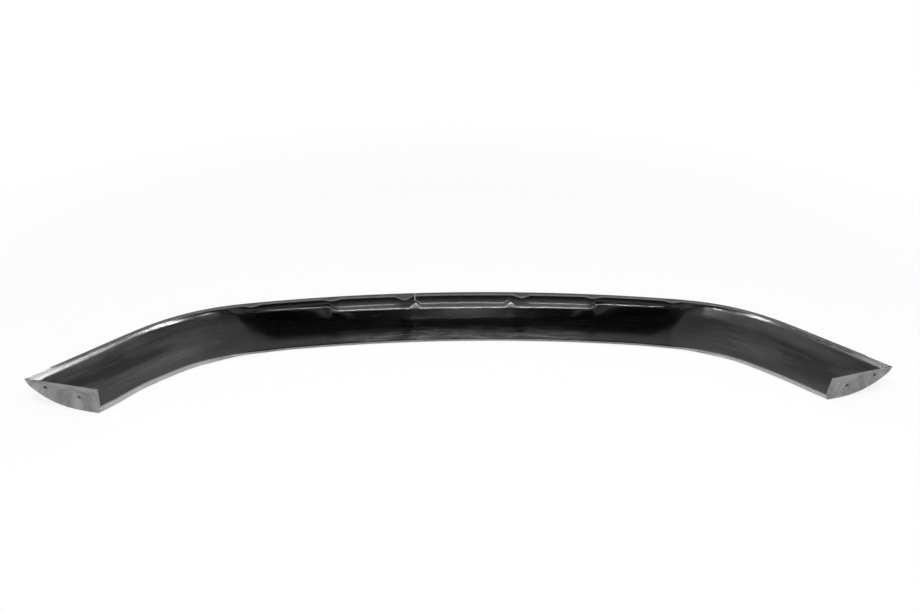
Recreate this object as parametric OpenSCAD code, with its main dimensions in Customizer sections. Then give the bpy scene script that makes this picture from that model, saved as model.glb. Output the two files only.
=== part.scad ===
// Front splitter lip: one sheet of black plastic, drawn to a curved open tray
// X runs along the lip, Y points ahead of the car, Z points up

/* [Overall] */

// length along the front edge from the middle to the left tip
half_left = 887.8; // [877:0.1:897]
// length along the front edge from the middle to the right tip
half_right = 873.8; // [863:0.1:883]
// height from the underside to the top of the flange
lip_h = 48.3; // [46:0.1:52]
// thickness of the formed sheet
sheet = 3.5; // [3:0.1:4]

/* [Plan] */

// radius of the gentle bow across the middle
bow_r = 2240; // [2100:10:2600]
// distance along the edge at which the corner bend begins
bend_start = 405; // [395:1:415]
// distance along the edge at which the corner bend ends
bend_end = 690; // [680:2:700]
// angle of the left wing to the straight across
sweep_left = 48.8; // [46:0.1:53]
// angle of the right wing to the straight across
sweep_right = 50.4; // [46:0.1:53]
// depth of the tray in the middle
depth_mid = 122.5; // [118:0.5:128]
// depth of the tray halfway round the bend
depth_bend = 135; // [130:0.5:140]
// depth of the tray at the start of each wing
depth_wing = 128; // [123:0.5:133]
// depth of the tray at the left end cap
depth_left = 140.5; // [134:0.5:146]
// depth of the tray at the right end cap
depth_right = 131.5; // [126:0.5:137]
// lean of the end caps back from square to the front edge
cap_lean = 23.8; // [18:0.1:28]

/* [Flange] */

// depth of the top flange in the middle
flange_mid = 11.5; // [10:0.5:14]
// depth of the top flange from the shoulders outward
flange_side = 8.5; // [7:0.5:10]
// depth of the top flange at the tips
flange_tip = 6; // [5:0.5:7]
// length of each tip that has no flange
bare_tip = 48; // [40:1:56]
// place of the inner tabs, measured along the front edge
inner_tab_at = 119; // [114:1:124]
// place of the middle tabs, measured along the front edge
middle_tab_at = 264.5; // [258:0.5:272]
// place of the outer tabs, measured along the front edge
outer_tab_at = 423; // [416:1:430]
// half width of a tab
tab_half = 22; // [18:1:24]
// how far the left inner tab stands out of the flange
inner_tab_left = 16.5; // [12:0.5:18]
// how far the right inner tab stands out of the flange
inner_tab_right = 11.5; // [9:0.5:16]
// how far the middle and outer tabs stand out of the flange
side_tab = 7; // [5:0.5:9]

/* [Front wall] */

// places of the two notches between the bumper blocks, along the edge
notch_at = 96.7; // [94:0.1:100]
// half width of a notch
notch_half = 12.5; // [10:0.5:15]
// place of the step at the outer end of the outer blocks
step_at = 265.8; // [260:0.1:274]
// half length of the step
step_half = 8; // [6:0.5:12]
// reach of the blocks behind the front edge
block_reach = 17; // [15:0.5:19]
// height of the edge along the blocks
block_edge_z = 22.7; // [20:0.1:25]
// height of the edge along the ledge beside the blocks
ledge_edge_z = 29.3; // [27:0.1:31]
// line of the crease behind the front wall, behind the front edge in the middle
crease_back = 32.5; // [31:0.5:35]
// width of the saw cut in the left notch
slit_w = 0.8; // [0.6:0.1:1.2]

/* [Floor] */

// power of the curve by which the floor runs up into the front edge of the wings
floor_power = 2.35; // [2.1:0.05:2.6]
// the same power at the left end cap
power_left = 2.8; // [2.5:0.05:3]
// the same power at the right end cap
power_right = 2.4; // [2.2:0.05:2.7]
// share of the depth that the curved part of the floor takes
floor_share = 0.87; // [0.8:0.01:0.9]
// height of the turned up rear edge at the middle
return_mid = 3.5; // [3:0.5:4]
// height of the turned up rear edge at the left cap
return_left = 11; // [9:0.5:13]
// height of the turned up rear edge at the right cap
return_right = 7.5; // [6:0.5:9]

/* [End caps] */

// drop of the left cap's upper edge from the front to its rear corner
drop_left = 1; // [0.5:0.5:3]
// drop of the right cap's upper edge from the front to its rear corner
drop_right = 6; // [4:0.5:8]
// distance of the left cap's upper rear corner ahead of the rear edge
corner_left = 0; // [-1:0.5:2]
// distance of the right cap's upper rear corner ahead of the rear edge
corner_right = 6.5; // [4:0.5:8]
// diameter of the two fixing holes in each end cap
hole_d = 7; // [5:0.5:8]
// place of the outer holes as a share of the cap's depth from the front edge
outer_hole_share = 0.28; // [0.25:0.005:0.3]
// height of the outer holes
outer_hole_z = 35.7; // [33:0.1:37]
// place of the left inner hole as a share of the cap's depth from the front edge
left_hole_share = 0.735; // [0.7:0.005:0.76]
// height of the left inner hole
left_hole_z = 27; // [24:0.5:29]
// place of the right inner hole as a share of the cap's depth from the front edge
right_hole_share = 0.705; // [0.67:0.005:0.73]
// height of the right inner hole
right_hole_z = 23.5; // [21:0.5:26]

/* [Hidden] */

half_sheet = sheet/2;
// heights of the sheet's middle in the flange and in the floor
top_z = lip_h - half_sheet;
floor_z = half_sheet;
// roundings of the folds, measured along the legs
fold_top = 3;
fold_plain = 4;
fold_block = 7;
fold_edge = 4.5;
fold_rear = 2;
// the wings' curve starts this far behind and this high at the front edge
rise_t = 4;
rise_z = 39;
// the flange narrows from the middle to the shoulders, and again along the tips
flange_from = 150;
flange_to = 350;
tip_taper = 85;
// the flange runs out over this length before it is gone
trim_fade = 32;
// spacing of the points that take the flange's place in the top of the wall
bare_steps = [0, 1, 2, 3];
// the ledge narrows outward: places along the edge and distances behind it
ledge_places = [342, 395, 430];
ledge_depths = [10.5, 8.5, 6.5, 5.5];
wall_slant = 1.2;
// the blend from the stepped front wall to the plain curve of the wings
wall_from = 395;
wall_to = 445;
curve_from = 490;
curve_to = 560;
// points of the front wall as shares of its height above the crease
wall_share_in = 0.7;
wall_share_out = 0.35;
// steps between the points that start the wings' curve
curve_steps = [3, 9, 18];
// the rear edge turns up between these places, from nearly flat to nearly upright
return_from = 400;
return_to = 600;
return_flat = 12;
return_upright = 84;
return_leg = 5;
return_bend_z = half_sheet + 0.3;
floor_fall = 0.3;
// points taken across the floor between the crease and the rear edge
floor_cuts = [0.12, 0.315, 0.51, 0.705, 0.9];
// round lip between cap and tray on the outside
cap_edge = 1.2;
cap_edge_start = 0.15;
bore_facets = 24;

// limits of the stretches between the cross sections, and the cuts in each
cap_sheet = sheet/cos(cap_lean);
left_cap_arc = half_left - cap_sheet;
right_cap_arc = half_right - cap_sheet;
limits = [0, notch_at - notch_half, notch_at, notch_at + notch_half, inner_tab_at + tab_half,
    middle_tab_at - tab_half, step_at - step_half, step_at + step_half, middle_tab_at + tab_half,
    wall_from, wall_to, curve_from, curve_to, bend_end];
cuts = [4, 4, 4, 5, 4, 3, 6, 3, 4, 6, 3, 5, 6];
wing_cuts = 4;
bare_cuts = 2;
inside_arcs = [for (k = [0:len(cuts) - 1]) for (i = [0:cuts[k] - 1])
    blend(limits[k], limits[k + 1], i/cuts[k])];
function wing_arcs(end) = let (bare = end - bare_tip) concat(
    [for (i = [0:wing_cuts]) blend(bend_end, bare - trim_fade, i/wing_cuts)],
    [for (i = [0:bare_cuts]) blend(bare, end, i/bare_cuts)]);
left_arcs = concat(inside_arcs, wing_arcs(left_cap_arc));
right_arcs = concat(inside_arcs, wing_arcs(right_cap_arc));
last = len(left_arcs) - 1;

function blend(a, b, u) = a + (b - a)*u;
function ease(u) = let (v = min(1, max(0, u))) v*v*(3 - 2*v);
function ramp(s, from, to) = ease((s - from)/(to - from));
function along(s, from, to) = min(1, max(0, (s - from)/(to - from)));

// what differs between the halves; side is -1 on the left and 1 on the right
function cap_arc(side) = side < 0 ? left_cap_arc : right_cap_arc;
function sweep(side) = side < 0 ? sweep_left : sweep_right;
function cap_depth(side) = side < 0 ? depth_left : depth_right;
function return_end(side) = side < 0 ? return_left : return_right;
function inner_tab(side) = side < 0 ? inner_tab_left : inner_tab_right;
function cap_power(side) = side < 0 ? power_left : power_right;
function power(s, side) = blend(floor_power, cap_power(side), ramp(s, bend_end, cap_arc(side)));

// angle of the front edge to the straight across, at s along it
bow_end = bend_end/bow_r*180/PI;
function heading(s, side) = min(s, bend_end)/bow_r*180/PI
    + (sweep(side) - bow_end)*ramp(s, bend_start, bend_end);
function course(s, side) = let (a = heading(s, side)) [cos(a), -sin(a)];
function stride(a, b, side) = (b - a)/6
    *(course(a, side) + 4*course((a + b)/2, side) + course(b, side));
function edge(arcs, side) = [for (i = 0, p = [0, 0]; i <= last;
    p = i < last ? p + stride(arcs[i], arcs[i + 1], side) : p, i = i + 1) p];
left_edge = edge(left_arcs, -1);
right_edge = edge(right_arcs, 1);

// depth of the tray from the front edge to the rear edge
swell_from = 350;
bend_mid_after = 40;
wing_after = 70;
bend_mid = (bend_start + bend_end)/2 + bend_mid_after;
wing_start = bend_end + wing_after;
function depth(s, side) = s < swell_from ? depth_mid
    : s < bend_mid ? blend(depth_mid, depth_bend, ramp(s, swell_from, bend_mid))
    : s < wing_start ? blend(depth_bend, depth_wing, ramp(s, bend_mid, wing_start))
    : blend(depth_wing, cap_depth(side), ramp(s, wing_start, cap_arc(side)));
lean_from = 362;
function lean(s, side) = cap_lean*along(s, lean_from, cap_arc(side));

// tabs swell out of the flange in a smooth wave
function tab(s, at, out) = let (u = min(1, abs(s - at)/tab_half)) out*(1 + cos(180*u))/2;
function flange(s, side) =
    blend(blend(flange_mid, flange_side, ramp(s, flange_from, flange_to)), flange_tip,
        ramp(s, cap_arc(side) - tip_taper, cap_arc(side)))
    + tab(s, inner_tab_at, inner_tab(side))
    + tab(s, middle_tab_at, side_tab)
    + tab(s, outer_tab_at, side_tab);

// one along the blocks, nothing in the notches and beyond the step
function block(s) = ease(abs(s - notch_at)/notch_half)
    *(1 - ramp(s, step_at - step_half, step_at + step_half));

// three points round a fold at c between the points a and b
function fold(a, c, b, cut) = let (
    la = norm(a - c),
    lb = norm(b - c),
    p = c + (a - c)*min(cut/la, 0.45),
    q = c + (b - c)*min(cut/lb, 0.45))
    [p, (p + 2*c + q)/4, q];

// the plain curve of the wings, from the floor up into the front edge
function rise(t, flat_t, power) = [t, floor_z
    + (rise_z - floor_z)*pow((flat_t - t)/(flat_t - rise_t), power)];

// crease between front wall and floor: on a straight line across the car, never nearer to
// the front edge than near_t, and lifting off the floor into the bend
near_t = 4;
near_soft = 1.5;
crease_z = floor_z + 1.5;
lift_from = wall_from - 20;
pull_from = curve_from - 35;
function crease(s, y, side) = let (
    line_t = (y + crease_back)/cos(heading(s, side)),
    t = (line_t + near_t + sqrt(pow(line_t - near_t, 2) + near_soft*near_soft))/2,
    lift = along(s, lift_from, curve_from))
    [blend(t, rise_t, ramp(s, pull_from, curve_from)),
        blend(crease_z, rise_z, (lift + ease(lift))/2)];

// middle line of the sheet in a cross section: distance behind the front edge, height
function section(s, y, side) = let (
    w = depth(s, side),
    flat_t = floor_share*w,
    low = crease(s, y, side),
    // edge of the blocks, or of the ledge beside them
    in_block = block(s),
    ledge_t = lookup(s, [[step_at, ledge_depths[0]], [ledge_places[0], ledge_depths[1]],
        [ledge_places[1], ledge_depths[2]], [ledge_places[2], ledge_depths[3]]]),
    edge_z = blend(ledge_edge_z, block_edge_z, in_block),
    edge_in = [half_sheet + wall_slant, edge_z],
    edge_out = [blend(ledge_t, block_reach, in_block), edge_z],
    // beyond the ledge the front wall runs straight from the flange to the crease
    wall_top = [half_sheet, top_z - fold_plain],
    plain = ramp(s, wall_from, wall_to),
    wall_in = blend(edge_in, blend(low, wall_top, wall_share_in), plain),
    wall_out = blend(edge_out, blend(low, wall_top, wall_share_out), plain),
    // in the wings the wall and the floor are one curve
    curved = ramp(s, curve_from, curve_to),
    k = power(s, side),
    p2 = blend(wall_in, rise(rise_t + curve_steps[0], flat_t, k), curved),
    p3 = blend(wall_out, rise(rise_t + curve_steps[1], flat_t, k), curved),
    p4 = blend(low, rise(rise_t + curve_steps[2], flat_t, k), curved),
    // turned up rear edge
    up = along(s, return_from, cap_arc(side)),
    return_h = return_mid + (return_end(side) - return_mid)*pow(up, 0.8),
    turned = ramp(s, return_from, return_to),
    angle = blend(return_flat, return_upright, turned),
    leg = blend(return_leg, return_h - 1, turned),
    p5 = [w - half_sheet*sin(angle) - leg*cos(angle), return_bend_z],
    tip = p5 + leg*[cos(angle), sin(angle)],
    flange_in = [flange(s, side), top_z],
    flange_out = [half_sheet, top_z],
    down = (p2 - flange_out)/norm(p2 - flange_out),
    top = s > cap_arc(side) - bare_tip - trim_fade/2
        ? [for (d = bare_steps) flange_out + d*down]
        : concat([flange_in], fold(flange_in, flange_out, p2, fold_top)),
    base = [for (u = floor_cuts) let (t = blend(p4[0], p5[0], u))
        [t, floor_z + (p4[1] - floor_z)*pow(max(0, (flat_t - t)/(flat_t - p4[0])), k)
            + floor_fall*max(0, (t - flat_t)/(w - flat_t))]])
    concat(top,
        fold(flange_out, p2, p3, blend(fold_block, fold_plain, plain)),
        fold(p2, p3, p4, blend(fold_edge, fold_plain, plain)),
        fold(p3, p4, base[0], fold_plain),
        base,
        fold(base[len(base) - 1], p5, tip, blend(fold_plain, fold_rear, turned)),
        [tip]);

// direction of a cross section, from the front edge to the rear
function across(s, side) = let (a = heading(s, side) + lean(s, side)) [-sin(a)*side, -cos(a), 0];
// direction square to a cross section, along the lip to the right
function onward(s, side) = let (a = heading(s, side) + lean(s, side)) [cos(a), -side*sin(a), 0];
function place(s, p, side) = [for (q = section(s, p[1], side))
    [side*p[0], p[1], 0] + q[0]*across(s, side) + [0, 0, q[1]]];

// rows of the grid run from the left cap to the right cap
rows = 2*last + 1;
function side_of(r) = r < last ? -1 : 1;
function arc_of(r) = r < last ? left_arcs[last - r] : right_arcs[r - last];
function edge_of(r) = r < last ? left_edge[last - r] : right_edge[r - last];
grid = [for (r = [0:rows - 1]) place(arc_of(r), edge_of(r), side_of(r))];
cols = len(grid[0]);

// half the sheet, square to its middle face and kept in the cross section
function half_way(r, i) = let (
    n = cross(grid[min(r + 1, rows - 1)][i] - grid[max(r - 1, 0)][i],
        grid[r][min(i + 1, cols - 1)] - grid[r][max(i - 1, 0)]),
    u = n/norm(n),
    o = onward(arc_of(r), side_of(r)),
    v = u - (u*o)*o)
    half_sheet*v/(v*v);
outer = [for (r = [0:rows - 1]) [for (i = [0:cols - 1]) grid[r][i] + half_way(r, i)]];
inner = [for (r = [0:rows - 1]) [for (i = [0:cols - 1]) grid[r][i] - half_way(r, i)]];

// the cap's outer face: the outer line moved out by one sheet, its rim rounded off
function cap_out(side) = side*onward(cap_arc(side), side);
function rim(side, out, in) = let (r = side < 0 ? 0 : rows - 1)
    [for (i = [0:cols - 1]) let (easy = min(1, i/3, (cols - 1 - i)/3), d = half_way(r, i))
        outer[r][i] + out*cap_out(side) - in*easy*d/norm(d)];
outside = concat(
    [rim(-1, sheet, cap_edge)],
    [rim(-1, sheet - cap_edge, cap_edge_start*cap_edge)],
    outer,
    [rim(1, sheet - cap_edge, cap_edge_start*cap_edge)],
    [rim(1, sheet, cap_edge)]);
out_rows = len(outside);
// upper rear corner of a cap over the end p of a row
function corner(p, side) = p
    - (side < 0 ? corner_left : corner_right)*across(cap_arc(side), side)
    + [0, 0, lip_h - (side < 0 ? drop_left : drop_right) - p[2]];
corners = [corner(outside[0][cols - 1], -1), corner(outer[0][cols - 1], -1),
    corner(outer[rows - 1][cols - 1], 1), corner(outside[out_rows - 1][cols - 1], 1)];
shell_points = concat([for (l = outside) each l], [for (l = inner) each l], corners);

function o_at(r, i) = r*cols + i;
function i_at(r, i) = (out_rows + r)*cols + i;
function c_at(k) = (out_rows + rows)*cols + k;
function quad(a, b, c, d) = [[a, b, c], [a, c, d]];
function fan(from, ring) = [for (k = [0:len(ring) - 2])
    if (ring[k] != from && ring[k + 1] != from) [from, ring[k], ring[k + 1]]];
function turned_over(list) = [for (f = list) [f[2], f[1], f[0]]];
// the fans of the cap faces start at a point that sees the whole face
middle = 9;

skin = concat(
    [for (r = [0:out_rows - 2]) for (i = [0:cols - 2])
        each quad(o_at(r, i), o_at(r, i + 1), o_at(r + 1, i + 1), o_at(r + 1, i))],
    [for (r = [0:rows - 2]) for (i = [0:cols - 2])
        each quad(i_at(r, i), i_at(r + 1, i), i_at(r + 1, i + 1), i_at(r, i + 1))],
    [for (r = [0:rows - 2])
        each quad(o_at(r + 2, 0), o_at(r + 3, 0), i_at(r + 1, 0), i_at(r, 0))],
    [for (r = [0:rows - 2])
        each quad(i_at(r, cols - 1), i_at(r + 1, cols - 1), o_at(r + 3, cols - 1),
            o_at(r + 2, cols - 1))]);

// faces of one end cap: o0 and o1 are the outer rows, oc the row and ic the row at its inner face
function cap(o0, o1, oc, ic, c_out, c_in) = concat(
    fan(c_at(c_in), [o_at(oc, 0), o_at(o1, 0), o_at(o0, 0), c_at(c_out)]),
    fan(c_at(c_in), [c_at(c_out), o_at(o0, cols - 1), o_at(o1, cols - 1), o_at(oc, cols - 1)]),
    fan(o_at(o0, middle), concat([c_at(c_out)], [for (i = [0:cols - 1]) o_at(o0, i)],
        [c_at(c_out)])),
    turned_over(fan(i_at(ic, middle), concat([for (i = [0:cols - 1]) i_at(ic, i)],
        [o_at(oc, cols - 1), c_at(c_in), o_at(oc, 0), i_at(ic, 0)]))));
shell_faces = concat(skin,
    cap(0, 1, 2, 0, 0, 1),
    turned_over(cap(out_rows - 1, out_rows - 2, out_rows - 3, rows - 1, 3, 2)));

// the middle of the whole lip lies over the origin
function middle_of(k) = (min([for (p = shell_points) p[k]]) + max([for (p = shell_points) p[k]]))/2;
centre = [middle_of(0), middle_of(1), 0];

module cap_bore(side, share, z) {
    p = side < 0 ? left_edge[last] : right_edge[last];
    t = share*cap_depth(side);
    turn = sweep(side) + cap_lean;
    translate([side*p[0], p[1], z] + t*across(cap_arc(side), side))
        rotate([0, 90, side < 0 ? 180 + turn : -turn])
            translate([0, 0, -sheet])
                cylinder(d = hole_d, h = 3*sheet, $fn = bore_facets);
}

module slit() {
    turn = heading(notch_at, -1);
    translate([-notch_at*cos(turn/2), -notch_at*sin(turn/2), ledge_edge_z + half_sheet])
        rotate([0, 0, turn])
            translate([-slit_w/2, -block_reach - sheet - inner_tab_left, 0])
                cube([slit_w, block_reach + 2*sheet + inner_tab_left, lip_h]);
}

module splitter_lip() {
    color([0.07, 0.07, 0.075])
        translate(-centre)
            difference() {
                polyhedron(points = shell_points, faces = shell_faces, convexity = 10);
                for (side = [-1, 1])
                    cap_bore(side, outer_hole_share, outer_hole_z);
                cap_bore(-1, left_hole_share, left_hole_z);
                cap_bore(1, right_hole_share, right_hole_z);
                slit();
            }
}

splitter_lip();
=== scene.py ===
"""Front splitter lip: one formed sheet of black plastic, resting on a pale floor."""
import math

import bmesh
import bpy
from mathutils import Matrix, Vector, kdtree


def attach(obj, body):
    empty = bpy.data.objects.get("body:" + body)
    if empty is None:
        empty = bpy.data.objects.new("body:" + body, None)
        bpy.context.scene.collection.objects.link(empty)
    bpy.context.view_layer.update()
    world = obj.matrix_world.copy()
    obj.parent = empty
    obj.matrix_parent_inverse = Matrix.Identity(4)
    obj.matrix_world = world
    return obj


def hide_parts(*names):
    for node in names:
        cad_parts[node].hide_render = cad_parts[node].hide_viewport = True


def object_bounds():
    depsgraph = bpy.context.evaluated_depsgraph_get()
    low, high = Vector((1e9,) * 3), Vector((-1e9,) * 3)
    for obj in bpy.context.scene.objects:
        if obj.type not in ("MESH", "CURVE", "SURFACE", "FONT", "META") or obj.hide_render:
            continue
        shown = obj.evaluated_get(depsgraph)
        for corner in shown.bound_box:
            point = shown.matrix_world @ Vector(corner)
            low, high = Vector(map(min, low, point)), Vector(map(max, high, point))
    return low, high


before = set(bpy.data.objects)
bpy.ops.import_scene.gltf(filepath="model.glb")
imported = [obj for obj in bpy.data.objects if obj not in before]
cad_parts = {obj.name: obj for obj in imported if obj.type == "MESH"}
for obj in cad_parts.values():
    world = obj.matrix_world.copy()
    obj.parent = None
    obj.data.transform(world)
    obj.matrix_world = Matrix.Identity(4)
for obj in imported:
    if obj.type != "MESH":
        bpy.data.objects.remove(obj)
cad_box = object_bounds()

MM = 0.001
# keeps the rounder visible sheet within the box of the solid one
KEEP_INSIDE = 0.9999
LEFT, RIGHT = -1, 1

# sizes of the sheet, in millimetres
HALF_LENGTH = {LEFT: 887.8, RIGHT: 873.8}
LIP_H = 48.3
SHEET = 3.5
HALF_SHEET = SHEET / 2
TOP_Z = LIP_H - HALF_SHEET
FLOOR_Z = HALF_SHEET
CENTRE = Vector((-7.8169, -182.566, 0))

# plan of the front edge and depth of the tray
BOW_R = 2240
BEND_START, BEND_END = 405, 690
SWEEP = {LEFT: 48.8, RIGHT: 50.4}
DEPTH_MID, DEPTH_BEND, DEPTH_WING = 122.5, 135, 128
DEPTH_TIP = {LEFT: 140.5, RIGHT: 131.5}
SWELL_FROM = 350
DEEPEST_PAST_BEND, WING_PAST_BEND = 40, 70
DEEPEST_AT = (BEND_START + BEND_END) / 2 + DEEPEST_PAST_BEND
WING_START = BEND_END + WING_PAST_BEND
CAP_LEAN = 23.8
LEAN_FROM = 362

# top flange and its tabs
FLANGE_MID, FLANGE_SIDE, FLANGE_TIP = 11.5, 8.5, 6
FLANGE_FROM, FLANGE_TO = 150, 350
TIP_TAPER = 85
BARE_TIP, BARE_FADE, BARE_TOP = 48, 32, 3
TAB_HALF = 22
TABS = {
    LEFT: ((119, 16.5), (264.5, 7), (423, 7)),
    RIGHT: ((119, 11.5), (264.5, 7), (423, 7)),
}

# stepped front wall
NOTCH_AT, NOTCH_HALF = 96.7, 12.5
STEP_AT, STEP_HALF = 265.8, 8
BLOCK_REACH, BLOCK_EDGE_Z, LEDGE_EDGE_Z = 17, 22.7, 29.3
LEDGE_DEPTHS = ((STEP_AT, 10.5), (342, 8.5), (395, 6.5), (430, 5.5))
WALL_SLANT = 1.2
CREASE_BACK, CREASE_UP = 32.5, 1.5
NEAR_T, NEAR_SOFT = 4, 1.5
SLIT_W = 0.8

# blends from the stepped wall to the curve of the wings
WALL_FROM, WALL_TO = 395, 445
CURVE_FROM, CURVE_TO = 490, 560
LIFT_BEFORE_WALL, SWING_BEFORE_CURVE = 20, 35
WALL_SHARES = (0.7, 0.35)
CURVE_STEPS = (3, 9, 18)
RISE_T, RISE_Z = 4, 39
FLOOR_POWER, FLOOR_SHARE, FLOOR_REAR_UP = 2.35, 0.87, 0.3
CAP_POWER = {LEFT: 2.8, RIGHT: 2.4}

# turned up rear edge
RETURN_MID = 3.5
RETURN_END = {LEFT: 11, RIGHT: 7.5}
RETURN_FROM, RETURN_TO = 400, 600
RETURN_FLAT, RETURN_UPRIGHT, RETURN_LEG = 12, 84, 5
RETURN_GROWTH, RETURN_BEND = 0.8, 1

# folds, measured along their legs, and the share of a leg that a fold may take
FOLD_TOP, FOLD_PLAIN, FOLD_BLOCK, FOLD_EDGE, FOLD_CREASE, FOLD_REAR = 3, 4, 7, 4.5, 1.2, 2
FOLD_SHARE = 0.45

# end caps
CAP_DROP = {LEFT: 1, RIGHT: 6}
CAP_CORNER = {LEFT: 0, RIGHT: 6.5}
RIM_STEPS = ((1.2, 0.08), (2.3, 0.2), (2.95, 0.72), (SHEET, 1.2))
RIM_EASE = 4
HOLE_D = 7
HOLES = {LEFT: ((0.28, 35.7), (0.735, 27)), RIGHT: ((0.28, 35.7), (0.705, 23.5))}

# fineness of the visible sheet
FOLD_POINTS = 7
FLOOR_POINTS = 22
FLOOR_MARGIN = 0.06
STRETCHES = ((0, 1.6), (142, 4), (240, 1.6), (295, 4), (BEND_END, 4))
EDGE_ROUNDING, ROUND_EDGES_OVER, SHARP_OVER = 0.5, 50, 38
ROUNDING_STEPS, HOLE_FACETS = 2, 48


def blend(a, b, u):
    if isinstance(a, Vector):
        return a.lerp(b, u)
    return a + (b - a) * u


def along(s, start, end):
    return min(1, max(0, (s - start) / (end - start)))


def ramp(s, start, end):
    u = along(s, start, end)
    return u * u * (3 - 2 * u)


def cap_arc(side):
    return HALF_LENGTH[side] - SHEET / math.cos(math.radians(CAP_LEAN))


def heading(s, side):
    """Angle of the front edge to the straight across, at s along it."""
    bow_end = BEND_END / BOW_R
    turn = math.radians(SWEEP[side]) - bow_end
    return min(s, BEND_END) / BOW_R + turn * ramp(s, BEND_START, BEND_END)


def course(s, side):
    return Vector((math.cos(heading(s, side)), -math.sin(heading(s, side))))


def front_edge(arcs, side):
    """Points of the front edge at the given lengths along it, one half, drawn to the right."""
    points = [Vector((0, 0))]
    for a, b in zip(arcs, arcs[1:]):
        step = course(a, side) + 4 * course((a + b) / 2, side) + course(b, side)
        points.append(points[-1] + step * (b - a) / 6)
    return points


def depth(s, side):
    if s < SWELL_FROM:
        return DEPTH_MID
    if s < DEEPEST_AT:
        return blend(DEPTH_MID, DEPTH_BEND, ramp(s, SWELL_FROM, DEEPEST_AT))
    if s < WING_START:
        return blend(DEPTH_BEND, DEPTH_WING, ramp(s, DEEPEST_AT, WING_START))
    return blend(DEPTH_WING, DEPTH_TIP[side], ramp(s, WING_START, cap_arc(side)))


def section_angle(s, side):
    lean = math.radians(CAP_LEAN) * along(s, LEAN_FROM, cap_arc(side))
    return heading(s, side) + lean


def across(s, side):
    a = section_angle(s, side)
    return Vector((-math.sin(a) * side, -math.cos(a), 0))


def onward(s, side):
    a = section_angle(s, side)
    return Vector((math.cos(a), -side * math.sin(a), 0))


def flange(s, side):
    plain = blend(FLANGE_MID, FLANGE_SIDE, ramp(s, FLANGE_FROM, FLANGE_TO))
    plain = blend(plain, FLANGE_TIP, ramp(s, cap_arc(side) - TIP_TAPER, cap_arc(side)))
    for at, out in TABS[side]:
        plain += out * (1 + math.cos(math.pi * min(1, abs(s - at) / TAB_HALF))) / 2
    return plain


def block(s):
    """One along the blocks, nothing in the notches and beyond the step."""
    notch = ramp(abs(s - NOTCH_AT), 0, NOTCH_HALF)
    return notch * (1 - ramp(s, STEP_AT - STEP_HALF, STEP_AT + STEP_HALF))


def ledge_depth(s):
    for (s0, t0), (s1, t1) in zip(LEDGE_DEPTHS, LEDGE_DEPTHS[1:]):
        if s < s1:
            return blend(t0, t1, along(s, s0, s1))
    return LEDGE_DEPTHS[-1][1]


def fold(a, c, b, cut):
    """Points round a fold at c between a and b."""
    p = c + (a - c) * min(cut / (a - c).length, FOLD_SHARE)
    q = c + (b - c) * min(cut / (b - c).length, FOLD_SHARE)
    steps = [i / (FOLD_POINTS - 1) for i in range(FOLD_POINTS)]
    return [p.lerp(c, u).lerp(c.lerp(q, u), u) for u in steps]


def floor_power(s, side):
    return blend(FLOOR_POWER, CAP_POWER[side], ramp(s, BEND_END, cap_arc(side)))


def rise(t, flat_t, power):
    """The plain curve of the wings, from the floor up into the front edge."""
    share = (flat_t - t) / (flat_t - RISE_T)
    return Vector((t, FLOOR_Z + (RISE_Z - FLOOR_Z) * share**power))


def crease(s, y, side):
    """Crease between front wall and floor, straight across the car and lifting into the bend."""
    line_t = (y + CREASE_BACK) / math.cos(heading(s, side))
    t = (line_t + NEAR_T + math.hypot(line_t - NEAR_T, NEAR_SOFT)) / 2
    lift_from = WALL_FROM - LIFT_BEFORE_WALL
    lift = (along(s, lift_from, CURVE_FROM) + ramp(s, lift_from, CURVE_FROM)) / 2
    return Vector((
        blend(t, RISE_T, ramp(s, CURVE_FROM - SWING_BEFORE_CURVE, CURVE_FROM)),
        blend(FLOOR_Z + CREASE_UP, RISE_Z, lift),
    ))


def front_wall(s, y, side, flat_t):
    """The three bends of the front wall: its inner edge, its outer edge and its foot."""
    foot = crease(s, y, side)
    edge_z = blend(LEDGE_EDGE_Z, BLOCK_EDGE_Z, block(s))
    edge_in = Vector((HALF_SHEET + WALL_SLANT, edge_z))
    edge_out = Vector((blend(ledge_depth(s), BLOCK_REACH, block(s)), edge_z))
    top = Vector((HALF_SHEET, TOP_Z - FOLD_PLAIN))
    plain = ramp(s, WALL_FROM, WALL_TO)
    curved = ramp(s, CURVE_FROM, CURVE_TO)
    bends = [
        blend(edge_in, foot.lerp(top, WALL_SHARES[0]), plain),
        blend(edge_out, foot.lerp(top, WALL_SHARES[1]), plain),
        foot,
    ]
    return [
        blend(bend, rise(RISE_T + step, flat_t, floor_power(s, side)), curved)
        for bend, step in zip(bends, CURVE_STEPS)
    ]


def rear_edge(s, side):
    """Bend and tip of the turned up rear edge."""
    up = along(s, RETURN_FROM, cap_arc(side)) ** RETURN_GROWTH
    height = RETURN_MID + (RETURN_END[side] - RETURN_MID) * up
    turned = ramp(s, RETURN_FROM, RETURN_TO)
    angle = math.radians(blend(RETURN_FLAT, RETURN_UPRIGHT, turned))
    reach = blend(RETURN_LEG, height - RETURN_BEND, turned)
    leg = reach * Vector((math.cos(angle), math.sin(angle)))
    bend_t = depth(s, side) - HALF_SHEET * math.sin(angle) - leg.x
    bend = Vector((bend_t, FLOOR_Z + FLOOR_REAR_UP))
    return bend, bend + leg


def tray_floor(start, end, flat_t, full_t, power):
    """The floor from the foot of the wall to the rear edge, flat in its rear part."""
    points = []
    for i in range(FLOOR_POINTS):
        share = FLOOR_MARGIN + (1 - 2 * FLOOR_MARGIN) * i / (FLOOR_POINTS - 1)
        t = blend(start.x, end.x, share)
        hollow = max(0, (flat_t - t) / (flat_t - start.x)) ** power
        rear_up = FLOOR_REAR_UP * max(0, (t - flat_t) / (full_t - flat_t))
        points.append(Vector((t, FLOOR_Z + (start.y - FLOOR_Z) * hollow + rear_up)))
    return points


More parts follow.
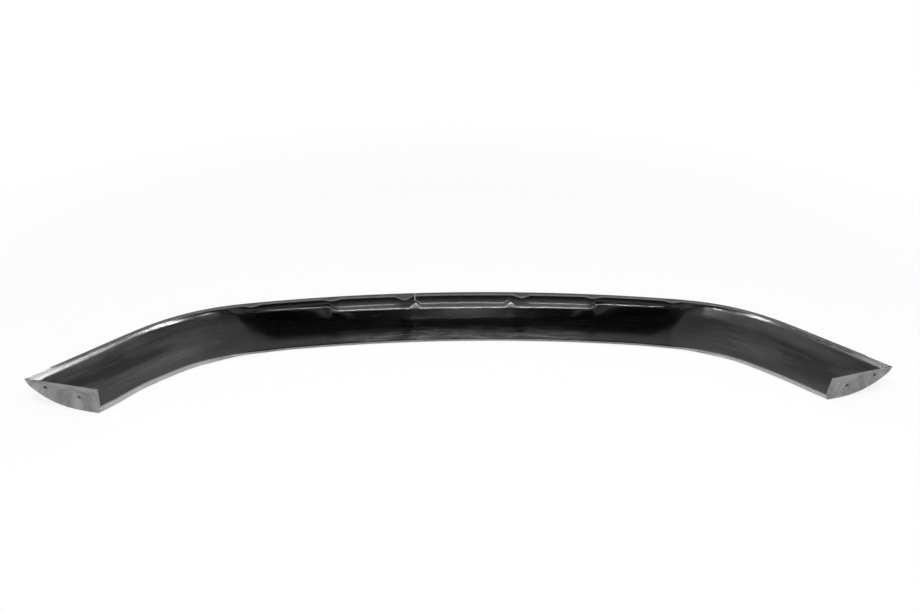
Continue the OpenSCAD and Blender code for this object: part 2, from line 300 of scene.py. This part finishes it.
def section(s, y, side):
    """Middle line of the sheet in a cross section: distance behind the front edge, height."""
    flat_t = FLOOR_SHARE * depth(s, side)
    flange_in = Vector((flange(s, side), TOP_Z))
    flange_out = Vector((HALF_SHEET, TOP_Z))
    wall_in, wall_out, foot = front_wall(s, y, side, flat_t)
    bend, tip = rear_edge(s, side)
    floor = tray_floor(foot, bend, flat_t, depth(s, side), floor_power(s, side))
    plain = ramp(s, WALL_FROM, WALL_TO)
    curved = ramp(s, CURVE_FROM, CURVE_TO)
    turned = ramp(s, RETURN_FROM, RETURN_TO)
    top = [flange_in, *fold(flange_in, flange_out, wall_in, FOLD_TOP)]
    down = (wall_in - flange_out).normalized() * BARE_TOP / FOLD_POINTS
    bare_top = [flange_out + i * down for i in range(FOLD_POINTS + 1)]
    bare_from = cap_arc(side) - BARE_TIP - BARE_FADE
    bare = along(s, bare_from, bare_from + BARE_FADE)
    return [
        *[blend(a, b, bare) for a, b in zip(top, bare_top)],
        *fold(flange_out, wall_in, wall_out, blend(FOLD_BLOCK, FOLD_PLAIN, plain)),
        *fold(wall_in, wall_out, foot, blend(FOLD_EDGE, FOLD_PLAIN, plain)),
        *fold(wall_out, foot, floor[0], blend(FOLD_CREASE, FOLD_PLAIN, curved)),
        *floor,
        *fold(floor[-1], bend, tip, blend(FOLD_PLAIN, FOLD_REAR, turned)),
        tip,
    ]


def half_arcs(side):
    """Places of the cross sections along one half, closer where the sheet is stepped."""
    ends = [start for start, _ in STRETCHES[1:]] + [cap_arc(side)]
    arcs = []
    for (start, pitch), end in zip(STRETCHES, ends):
        cuts = math.ceil((end - start) / pitch)
        arcs += [blend(start, end, i / cuts) for i in range(cuts)]
    return arcs + [cap_arc(side)]


class Row:
    """One cross section in place, with its middle line and how far along and across it lies."""

    def __init__(self, s, edge_point, side):
        self.s, self.side = s, side
        self.corner = Vector((side * edge_point.x, edge_point.y, 0))
        self.across, self.onward = across(s, side), onward(s, side)
        self.line = section(s, edge_point.y, side)
        self.middle = [self.corner + q.x * self.across + Vector((0, 0, q.y)) for q in self.line]


def all_rows():
    rows = []
    for side in (LEFT, RIGHT):
        arcs = half_arcs(side)
        half = [Row(s, p, side) for s, p in zip(arcs, front_edge(arcs, side))]
        rows += half[:0:-1] if side == LEFT else half
    return rows


def half_ways(rows):
    """From middle face to outer face at each point, half a sheet thick, in the cross section."""
    ways = []
    last, end = len(rows) - 1, len(rows[0].line) - 1
    for r, row in enumerate(rows):
        before, after = rows[max(r - 1, 0)], rows[min(r + 1, last)]
        line = []
        for i in range(end + 1):
            lengthwise = after.middle[i] - before.middle[i]
            crosswise = row.middle[min(i + 1, end)] - row.middle[max(i - 1, 0)]
            n = lengthwise.cross(crosswise).normalized()
            v = n - n.dot(row.onward) * row.onward
            line.append(v * HALF_SHEET / v.length_squared)
        ways.append(line)
    return ways


INSIDE, OUTSIDE, CUT, CAP = 0, 1, 2, 3


class Skin:
    """Collects the points and faces of the sheet, with each point's place on the unrolled lip."""

    def __init__(self):
        self.points, self.places, self.faces, self.finishes = [], [], [], []

    def line(self, points, row, reach):
        first = len(self.points)
        self.points += points
        self.places += [(row.side * row.s + reach, q.x, q.y) for q in row.line[:len(points)]]
        return list(range(first, first + len(points)))

    def point(self, p, row, place):
        self.points.append(p)
        self.places.append((row.side * row.s, *place))
        return len(self.points) - 1

    def face(self, corners, finish):
        self.faces.append(corners)
        self.finishes.append(finish)

    def strip(self, first, second, finish):
        for a, b, c, d in zip(first, first[1:], second[1:], second):
            self.face((a, b, c, d), finish)


def rim(row, outer, ways, out, inset):
    """A line of the end cap's outer rim, out from the row and drawn in by the inset."""
    end = len(outer) - 1
    line = []
    for i, (p, d) in enumerate(zip(outer, ways)):
        easy = min(1, i / RIM_EASE, (end - i) / RIM_EASE)
        line.append(p + row.side * out * row.onward - inset * easy * d.normalized())
    return line


def upper_corner(p, row):
    corner = p - CAP_CORNER[row.side] * row.across
    corner.z = LIP_H - CAP_DROP[row.side]
    return corner


def add_cap(skin, row, outer_ids, inner_ids, outer, ways):
    """Closes one end: rounded rim, upper and rear edges, and the cap's two faces."""
    lines = [outer_ids]
    for out, inset in RIM_STEPS:
        lines.append(skin.line(rim(row, outer, ways, out, inset), row, row.side * out))
    rear_place = (row.line[-1].x, LIP_H)
    inner_corner = skin.point(upper_corner(outer[-1], row), row, rear_place)
    outer_end = skin.points[lines[-1][-1]]
    outer_corner = skin.point(upper_corner(outer_end, row), row, rear_place)
    flip = row.side == LEFT

    def face(corners, finish):
        skin.face(corners[::-1] if flip else corners, finish)

    for first, second in zip(lines, lines[1:]):
        for a, b, c, d in zip(first, first[1:], second[1:], second):
            face((a, b, c, d), OUTSIDE)
    face([line[0] for line in lines] + [outer_corner, inner_corner], CUT)
    face([line[-1] for line in lines[::-1]] + [inner_corner, outer_corner], CUT)
    face(lines[-1] + [outer_corner], CAP)
    face([outer_ids[0], inner_corner, outer_ids[-1]] + inner_ids[::-1], INSIDE)


def build_skin():
    rows = all_rows()
    ways = half_ways(rows)
    skin = Skin()
    outer_lines = [[p + d for p, d in zip(row.middle, way)] for row, way in zip(rows, ways)]
    inner_lines = [[p - d for p, d in zip(row.middle, way)] for row, way in zip(rows, ways)]
    outer = [skin.line(line, row, 0) for line, row in zip(outer_lines, rows)]
    inner = [skin.line(line, row, 0) for line, row in zip(inner_lines, rows)]
    for a, b in zip(outer, outer[1:]):
        skin.strip(a, b, OUTSIDE)
    for a, b in zip(inner, inner[1:]):
        skin.strip(b, a, INSIDE)
    for r in range(len(rows) - 1):
        skin.face((outer[r][0], outer[r + 1][0], inner[r + 1][0], inner[r][0]), CUT)
        skin.face((inner[r][-1], inner[r + 1][-1], outer[r + 1][-1], outer[r][-1]), CUT)
    for r in (0, -1):
        add_cap(skin, rows[r], outer[r], inner[r], outer_lines[r], ways[r])
    return skin, rows


def add_mesh(name, points, faces):
    mesh = bpy.data.meshes.new(name)
    mesh.from_pydata(points, [], faces)
    piece = bpy.data.objects.new(name, mesh)
    bpy.context.scene.collection.objects.link(piece)
    return piece


def drill(row, share, height):
    """A round cutter through an end cap."""
    centre = row.corner + share * DEPTH_TIP[row.side] * row.across + Vector((0, 0, height))
    points, faces = [], []
    for reach in (-SHEET, 2 * SHEET):
        for i in range(HOLE_FACETS):
            a = 2 * math.pi * i / HOLE_FACETS
            spoke = math.cos(a) * row.across + math.sin(a) * Vector((0, 0, 1))
            points.append(centre + reach * row.side * row.onward + spoke * HOLE_D / 2)
    for i in range(HOLE_FACETS):
        j = (i + 1) % HOLE_FACETS
        faces.append((i, j, HOLE_FACETS + j, HOLE_FACETS + i))
    faces.append(tuple(range(HOLE_FACETS))[::-1])
    faces.append(tuple(range(HOLE_FACETS, 2 * HOLE_FACETS)))
    return points, faces


def saw(row):
    """A thin cutter from the top of the flange to the left notch."""
    points = []
    past_tab = BLOCK_REACH + FLANGE_MID + TABS[LEFT][0][1]
    for side_step in (-SLIT_W / 2, SLIT_W / 2):
        for t in (-2 * SHEET, past_tab):
            for z in (LEDGE_EDGE_Z + HALF_SHEET, LIP_H + SHEET):
                spot = row.corner + side_step * row.onward + t * row.across
                points.append(spot + Vector((0, 0, z)))
    faces = [(0, 1, 3, 2), (4, 6, 7, 5), (0, 4, 5, 1), (2, 3, 7, 6), (0, 2, 6, 4), (1, 5, 7, 3)]
    return points, faces


def put_in_place(points):
    """From the front edge's middle to the middle of the lip's box, in metres."""
    return [(p - CENTRE) * MM * KEEP_INSIDE for p in points]


def cut_away(piece, cutters):
    for cutter in cutters:
        change = piece.modifiers.new(cutter.name, "BOOLEAN")
        change.operation = "DIFFERENCE"
        change.solver = "EXACT"
        change.object = cutter


def outward(piece):
    """Turns all faces of a closed piece outward."""
    work = bmesh.new()
    work.from_mesh(piece.data)
    bmesh.ops.recalc_face_normals(work, faces=work.faces)
    work.to_mesh(piece.data)
    work.free()


def bake_modifiers(piece):
    """Keeps the shape that the modifiers give and drops the modifiers."""
    graph = bpy.context.evaluated_depsgraph_get()
    mesh = bpy.data.meshes.new_from_object(
        piece.evaluated_get(graph), preserve_all_data_layers=True, depsgraph=graph
    )
    piece.modifiers.clear()
    piece.data = mesh


def lay_out(piece, skin):
    """Notes at each point its place on the unrolled lip, in metres, for the finishes to use."""
    nearby = kdtree.KDTree(len(skin.points))
    for k, p in enumerate(put_in_place(skin.points)):
        nearby.insert(p, k)
    nearby.balance()
    place = piece.data.attributes.new("place", "FLOAT_VECTOR", "POINT")
    for vertex, noted in zip(piece.data.vertices, place.data):
        nearest = nearby.find(vertex.co)[1]
        noted.vector = Vector(skin.places[nearest]) * MM


def build_lip(finishes):
    skin, rows = build_skin()
    lip = add_mesh("lip_sheet", put_in_place(skin.points), skin.faces)
    outward(lip)
    for finish in finishes:
        lip.data.materials.append(finish)
    lip.data.polygons.foreach_set("material_index", skin.finishes)

    cutters = []
    for row in (rows[0], rows[-1]):
        for k, (share, height) in enumerate(HOLES[row.side]):
            points, faces = drill(row, share, height)
            cutters.append(add_mesh(f"drill_{row.side}_{k}", put_in_place(points), faces))
    left_rows = [row for row in rows if row.side == LEFT]
    notch_row = min(left_rows, key=lambda row: abs(row.s - NOTCH_AT))
    points, faces = saw(notch_row)
    cutters.append(add_mesh("saw", put_in_place(points), faces))
    for cutter in cutters:
        outward(cutter)
        cutter.data.materials.append(finishes[CUT])
    cut_away(lip, cutters)
    rounding = lip.modifiers.new("edge_rounding", "BEVEL")
    rounding.width = EDGE_ROUNDING * MM
    rounding.segments = ROUNDING_STEPS
    rounding.limit_method = "ANGLE"
    rounding.angle_limit = math.radians(ROUND_EDGES_OVER)
    rounding.use_clamp_overlap = True
    bake_modifiers(lip)
    lay_out(lip, skin)
    for cutter in cutters:
        bpy.data.objects.remove(cutter)
    for polygon in lip.data.polygons:
        polygon.use_smooth = True
    lip.data.set_sharp_from_angle(angle=math.radians(SHARP_OVER))
    return lip


class Signal:
    """An output of a shader node. Sums and products of signals add Math nodes."""

    def __init__(self, sheet, socket):
        self.sheet, self.socket = sheet, socket

    def _math(self, operation, a, b):
        return self.sheet.add("ShaderNodeMath", {"operation": operation}, {0: a, 1: b})

    def __add__(self, other):
        return self._math("ADD", self, other)

    def __radd__(self, other):
        return self._math("ADD", other, self)

    def __sub__(self, other):
        return self._math("SUBTRACT", self, other)

    def __rsub__(self, other):
        return self._math("SUBTRACT", other, self)

    def __mul__(self, other):
        return self._math("MULTIPLY", self, other)

    def __rmul__(self, other):
        return self._math("MULTIPLY", other, self)


class Sheet:
    """A tree of shader nodes, each added by one method."""

    def __init__(self, owner):
        owner.use_nodes = True
        self.tree = owner.node_tree
        self.tree.nodes.clear()

    def add(self, kind, settings=None, inputs=None, output=0):
        node = self.tree.nodes.new(kind)
        for key, value in (settings or {}).items():
            if key == "stops":
                self._set_stops(node.color_ramp, value)
            else:
                setattr(node, key, value)
        for key, value in (inputs or {}).items():
            if isinstance(value, Signal):
                self.tree.links.new(value.socket, node.inputs[key])
            else:
                node.inputs[key].default_value = value
        return Signal(self, node.outputs[output]) if node.outputs else None

    @staticmethod
    def _set_stops(ramp, stops):
        for i, (position, grey) in enumerate(stops):
            stop = ramp.elements[i] if i < 2 else ramp.elements.new(position)
            stop.position = position
            stop.color = (grey, grey, grey, 1)

    def axis(self, vector, number):
        return self.add("ShaderNodeSeparateXYZ", {}, {"Vector": vector}, output=number)

    def size_of(self, signal):
        return self.add("ShaderNodeMath", {"operation": "ABSOLUTE"}, {0: signal})

    def greater(self, first, second):
        return self.add("ShaderNodeMath", {"operation": "MAXIMUM"}, {0: first, 1: second})

    def shaped(self, signal, *stops):
        return self.add("ShaderNodeValToRGB", {"stops": stops}, {"Fac": signal}, output="Color")

    def graded(self, measure, *stops):
        """Goes from stop to stop as a measure in metres passes the given millimetres."""
        last = stops[-1][0]
        places = [(at / last, grey) for at, grey in stops]
        return self.shaped(measure * (1 / (last * MM)), *places)

    def mixed(self, factor, first, second):
        return self.add(
            "ShaderNodeMix",
            {"data_type": "FLOAT"},
            {"Factor": factor, "A": first, "B": second},
            output="Result",
        )

    def ray(self, kind):
        return self.add("ShaderNodeLightPath", output=kind)


class Finish(Sheet):
    """A material whose patterns lie on the unrolled lip."""

    def __init__(self, name):
        self.material = bpy.data.materials.new(name)
        super().__init__(self.material)

    def place(self, stretch):
        """Coordinates on the unrolled lip, drawn out by the given factors."""
        place = self.add("ShaderNodeAttribute", {"attribute_name": "place"}, output="Vector")
        return self.add(
            "ShaderNodeVectorMath", {"operation": "MULTIPLY"}, {0: place, 1: stretch}
        )

    def part(self, number):
        """Length along the lip, distance behind the front edge or height, in metres."""
        return self.axis(self.place((1, 1, 1)), number)

    def noise(self, where, scale, detail=4, roughness=0.5):
        return self.add(
            "ShaderNodeTexNoise",
            {},
            {"Vector": where, "Scale": scale, "Detail": detail, "Roughness": roughness},
            output="Fac",
        )

    def between(self, mask, first, second):
        """A colour that goes from first to second as the mask goes from 0 to 1."""
        ends = [end if isinstance(end, Signal) else (*end, 1) for end in (first, second)]
        return self.add(
            "ShaderNodeMix",
            {"data_type": "RGBA"},
            {"Factor": mask, "A": ends[0], "B": ends[1]},
            output="Result",
        )

    def bump(self, height, distance, strength=1.0):
        return self.add(
            "ShaderNodeBump", {}, {"Height": height, "Distance": distance, "Strength": strength}
        )

    def surface(self, **inputs):
        names = {key: key.replace("_", " ").title() for key in inputs}
        names["ior"] = "IOR"
        shader = self.add(
            "ShaderNodeBsdfPrincipled", {}, {names[key]: value for key, value in inputs.items()}
        )
        self.add("ShaderNodeOutputMaterial", {}, {"Surface": shader})
        return self.material


# colours of the plastic in its finishes, of the dust and the painted sheen on it, of the painted
# light low on the outer face in the wings, and of the floor
PLASTIC_IOR = 1.5
GLOSS_BLACK, DUST_AND_SHEEN = (0.0018, 0.0018, 0.0019), (0.13, 0.13, 0.132)
SATIN_DARK, SATIN_SCUFFED = (0.022, 0.022, 0.023), (0.06, 0.06, 0.062)
# dark and pale ends of the painted light low on the outer face in the wings
LIT_EDGE_DARK, LIT_EDGE_PALE = (0.3, 0.3, 0.302), (0.48, 0.48, 0.483)
CAP_DARK, CAP_PALE = (0.045, 0.045, 0.046), (0.34, 0.34, 0.343)
CUT_DARK, CUT_PALE = (0.12, 0.12, 0.122), (0.26, 0.26, 0.262)
FLOOR_PAINT, FLOOR_GLOW = (0.9, 0.9, 0.9, 1), (1, 1, 1, 1)


def gloss_inside():
    """The glossy black face: wavy from forming, paler in cloudy patches in the wings, with specks
    of dust and scratches, a painted sheen on the ledge, and smears with a painted sheen on the
    floor towards the rear edge.
    """
    finish = Finish("gloss_inside")
    from_middle = finish.size_of(finish.part(0))
    behind = finish.part(1)
    height = finish.part(2)
    wing = finish.graded(from_middle, (420, 0), (600, 1))
    middle = finish.graded(from_middle, (160, 1), (300, 0))
    stepped = finish.graded(from_middle, (250, 1), (275, 0))
    on_step = finish.graded(behind, (17, 1), (21, 0)) * stepped
    # painted reflection: the ledge is lightened most near its edge, speckled by flecks
    ledge = on_step * finish.graded(height, (19, 0), (23.5, 1), (27, 0.5), (37.5, 0.1))
    # smears with a painted sheen: the middle floor's colour lightens towards the rear edge
    rear = middle * finish.graded(behind, (62.5, 0), (107.5, 1))

    plain = finish.place((1, 1, 1))
    drawn = finish.place((0.25, 1.6, 1.6))
    smeared = finish.place((0.2, 1.3, 1.3))
    lengthwise = finish.place((0.06, 3, 3))
    wave = finish.noise(drawn, scale=9, detail=2)
    cloud = finish.noise(drawn, scale=14, detail=6, roughness=0.62)
    wiped = finish.shaped(cloud, (0.42, 0), (0.72, 1))
    fleck = finish.noise(finish.place((0.5, 1.2, 1.2)), scale=150, roughness=0.7)
    smear = finish.noise(smeared, scale=90, detail=5, roughness=0.7)
    smear = finish.shaped(smear, (0.45, 0), (0.7, 1))
    scratch = finish.noise(lengthwise, scale=160, detail=3, roughness=0.7)
    scratch = finish.shaped(scratch, (0.63, 0), (0.74, 1))
    dust = finish.noise(plain, scale=900, detail=2, roughness=0.6)
    dust = finish.shaped(dust, (0.66, 0), (0.76, 1))

    # the painted sheen on the ledge and the rear floor, with the smears there
    painted_sheen_and_smear = ledge * (0.45 + fleck * 1.0) + rear * (0.1 + smear * 0.9)
    # the wings are paler in cloudy patches
    wing_paling = wing * (0.03 + wiped * 0.42)
    marks = scratch * 0.16 + dust * 0.22 + smear * 0.02
    return finish.surface(
        base_color=finish.between(painted_sheen_and_smear + wing_paling + marks, GLOSS_BLACK, DUST_AND_SHEEN),
        roughness=0.17 + wiped * 0.08 + scratch * 0.15 + ledge * 0.15,
        ior=PLASTIC_IOR,
        normal=finish.bump(wave + cloud * 0.06 + scratch * 0.004, distance=0.0012, strength=0.5),
    )


def satin_outside():
    """The finely grained outer face, darker than the caps, with painted light making it pale
    along the rear edge in the wings.
    """
    finish = Finish("satin_outside")
    plain = finish.place((1, 1, 1))
    cloud = finish.noise(plain, scale=26, detail=5, roughness=0.6)
    grain = finish.noise(plain, scale=1400, detail=2, roughness=0.6)
    streak = finish.noise(finish.place((0.15, 1.5, 1.5)), scale=120, roughness=0.7)
    scuff = finish.shaped(streak, (0.5, 0), (0.75, 1))
    low = finish.graded(finish.part(2), (12.5, 1), (18.75, 0))
    wing = finish.graded(finish.size_of(finish.part(0)), (440, 0), (620, 1))
    # painted light: low on the outer face in the wings, where the sheet faces across to the
    # light, the colour is painted pale
    lit_edge = low * wing * (0.75 + cloud * 0.5)
    dark = finish.between(cloud * 0.7 + scuff * 0.3, SATIN_DARK, SATIN_SCUFFED)
    pale = finish.between(cloud, LIT_EDGE_DARK, LIT_EDGE_PALE)
    return finish.surface(
        base_color=finish.between(lit_edge, dark, pale),
        roughness=0.34 + cloud * 0.1 + lit_edge * 0.2,
        ior=PLASTIC_IOR,
        normal=finish.bump(grain, distance=0.00012, strength=0.5),
    )


def cap_face():
    """The flat face of an end cap: grey from sanding, with short strokes and smudges."""
    finish = Finish("cap_face")
    plain = finish.place((1, 1, 1))
    cloud = finish.noise(plain, scale=34, detail=5, roughness=0.62)
    grain = finish.noise(plain, scale=1100, detail=2, roughness=0.6)
    strokes = finish.noise(finish.place((1, 0.5, 2.5)), scale=260, detail=3, roughness=0.75)
    smudge = finish.shaped(finish.noise(plain, scale=20, detail=3), (0.56, 0), (0.7, 1))
    tone = cloud * 1.5 + strokes * 0.9 - smudge * 0.5 - 0.55
    return finish.surface(
        base_color=finish.between(tone, CAP_DARK, CAP_PALE),
        roughness=0.5 + cloud * 0.12,
        ior=PLASTIC_IOR,
        normal=finish.bump(grain + strokes * 0.5, distance=0.00015, strength=0.5),
    )


def cut_edge():
    """The trimmed edge of the sheet, lighter and marked by the cutter."""
    finish = Finish("cut_edge")
    ragged = finish.noise(finish.place((1, 0.2, 0.2)), scale=700, detail=3, roughness=0.7)
    cloud = finish.noise(finish.place((1, 1, 1)), scale=60, detail=3)
    return finish.surface(
        base_color=finish.between(cloud, CUT_DARK, CUT_PALE),
        roughness=0.5 + ragged * 0.15,
        ior=PLASTIC_IOR,
        normal=finish.bump(ragged, distance=0.0003, strength=0.4),
    )


def pale_floor():
    """A plain white floor that keeps the lip's shadow and is even white further off."""
    finish = Finish("pale_floor")
    seen = finish.greater(finish.ray("Is Camera Ray"), finish.ray("Is Glossy Ray"))
    seen = finish.greater(seen, finish.ray("Is Transmission Ray"))
    where = finish.add("ShaderNodeTexCoord", output="Object")
    away = finish.add("ShaderNodeVectorMath", {"operation": "LENGTH"}, {0: where}, output="Value")
    evenness = finish.graded(away, (900, 0.82), (1500, 1))
    paint = finish.add(
        "ShaderNodeBsdfPrincipled", {}, {"Base Color": FLOOR_PAINT, "Roughness": 0.7}
    )
    glow = finish.add("ShaderNodeEmission", {}, {"Color": FLOOR_GLOW, "Strength": 1.0})
    mixed = finish.add("ShaderNodeMixShader", {}, {0: seen * evenness, 1: paint, 2: glow})
    finish.add("ShaderNodeOutputMaterial", {}, {"Surface": mixed})
    return finish.material


# the floor under the lip, in metres
FLOOR_SIZE, FLOOR_BELOW = 40, 0.0002


def build_floor():
    half = FLOOR_SIZE / 2
    corners = [(-half, -half, 0), (half, -half, 0), (half, half, 0), (-half, half, 0)]
    floor = add_mesh("floor", corners, [(0, 1, 2, 3)])
    floor.data.materials.append(pale_floor())
    floor.location.z = cad_box[0].z - FLOOR_BELOW


def soft_box(name, place, aim, size, level, mirrored):
    """A rectangular light that either lights only the colours or shows only in the gloss."""
    light = bpy.data.lights.new(name, "AREA")
    light.shape = "RECTANGLE"
    light.size, light.size_y = size
    light.energy = level * math.pi * size[0] * size[1]
    lamp = bpy.data.objects.new(name, light)
    lamp.location = place
    lamp.rotation_euler = (Vector(aim) - Vector(place)).to_track_quat("-Z", "Y").to_euler()
    lamp.visible_camera = False
    lamp.visible_diffuse = not mirrored
    lamp.visible_glossy = mirrored
    if mirrored:
        # seen at the first reflection only, and not again by way of a second one
        light.cycles.max_bounces = 0
        light.cycles.use_multiple_importance_sampling = False
    bpy.context.scene.collection.objects.link(lamp)


# brightness of the room: as seen by the camera, by dull surfaces, and in the gloss
ROOM_SEEN, ROOM_DULL = 1.0, 0.6
ROOM_AHEAD, ROOM_ASIDE, ROOM_BEHIND = 0.5, 0.2, 0.03
# the lamp that lights the colours, in metres: place, aim, size, brightness
KEY = ((0, -1.0, 2.4), (0, 0, 0), (2.4, 1.2), 4.5)
# boxes over the front wall, mirrored in the ledge: left end, right end, brightness
OVERHEAD = (
    (-0.45, -0.05, 100),
    (-0.05, 0.12, 8),
    (0.12, 0.3, 1),
    (0.3, 0.5, 10),
    (0.5, 0.85, 100),
)
OVERHEAD_Y, OVERHEAD_Z, OVERHEAD_DEPTH = -1.35, 4, 0.8
# boxes at the sides, mirrored in the wings: x, y, middle height, size, brightness
SIDES = (
    (1.6, -0.91, 2.08, (0.58, 2.25), 42),
    (1.6, -0.6, 0.8, (0.3, 0.2), 26),
    (-1.6, -1.23, 1.85, (0.55, 1.5), 38),
    (-1.6, -0.67, 1.04, (0.14, 0.12), 24),
)


def light_studio():
    """A dim room with a soft lamp for the colours and boxes that show in the gloss."""
    world = bpy.data.worlds.new("studio")
    bpy.context.scene.world = world
    room = Sheet(world)
    way = room.add("ShaderNodeTexCoord", output="Generated")
    aside = room.shaped(room.size_of(room.axis(way, 0)), (0.3, 0), (0.6, 1))
    ahead = room.shaped(room.axis(way, 1) * 0.5 + 0.5, (0.4, 0), (0.72, 1))
    shiny = room.greater(aside * ROOM_ASIDE, ahead * ROOM_AHEAD) + ROOM_BEHIND
    level = room.mixed(room.ray("Is Glossy Ray"), ROOM_DULL, shiny)
    seen = room.greater(room.ray("Is Camera Ray"), room.ray("Is Transmission Ray"))
    level = room.mixed(seen, level, ROOM_SEEN)
    sky = room.add("ShaderNodeBackground", {}, {"Color": (1, 1, 1, 1), "Strength": level})
    room.add("ShaderNodeOutputWorld", {}, {"Surface": sky})
    soft_box("key", *KEY, mirrored=False)
    for k, (left, right, level) in enumerate(OVERHEAD):
        place = Vector(((left + right) / 2, OVERHEAD_Y, OVERHEAD_Z))
        below = place - Vector((0, 0, OVERHEAD_Z))
        size = (right - left, OVERHEAD_DEPTH)
        soft_box(f"overhead_{k}", place, below, size, level, mirrored=True)
    for k, (x, y, z, size, level) in enumerate(SIDES):
        soft_box(f"side_{k}", (x, y, z), (0, y, z), size, level, mirrored=True)


# the camera as the photograph was taken: angles in degrees, distances in metres
PHOTO_WIDTH, FOCAL_PIXELS = 920, 1062.4
CAMERA_AZIMUTH, CAMERA_ELEVATION, CAMERA_ROLL = -2.98, 27, 0.78
CAMERA_DISTANCE = 2.2
CAMERA_AIM = Vector((0.00397, 0.20977, 0))


def add_camera():
    camera = bpy.data.cameras.new("camera")
    camera.sensor_fit = "HORIZONTAL"
    camera.lens = camera.sensor_width * FOCAL_PIXELS / PHOTO_WIDTH
    stand = bpy.data.objects.new("camera", camera)
    a, e = math.radians(CAMERA_AZIMUTH), math.radians(CAMERA_ELEVATION)
    back = Vector((math.sin(a) * math.cos(e), -math.cos(a) * math.cos(e), math.sin(e)))
    look = (-back).to_track_quat("-Z", "Y").to_matrix().to_4x4()
    roll = Matrix.Rotation(math.radians(CAMERA_ROLL), 4, "Z")
    stand.matrix_world = Matrix.Translation(CAMERA_AIM + back * CAMERA_DISTANCE) @ look @ roll
    bpy.context.scene.collection.objects.link(stand)
    bpy.context.scene.camera = stand


lip = build_lip([gloss_inside(), satin_outside(), cut_edge(), cap_face()])
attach(lip, "root")
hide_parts("splitter_lip")
build_floor()
light_studio()
add_camera()
bpy.context.scene.view_settings.view_transform = "Standard"

bpy.context.view_layer.update()
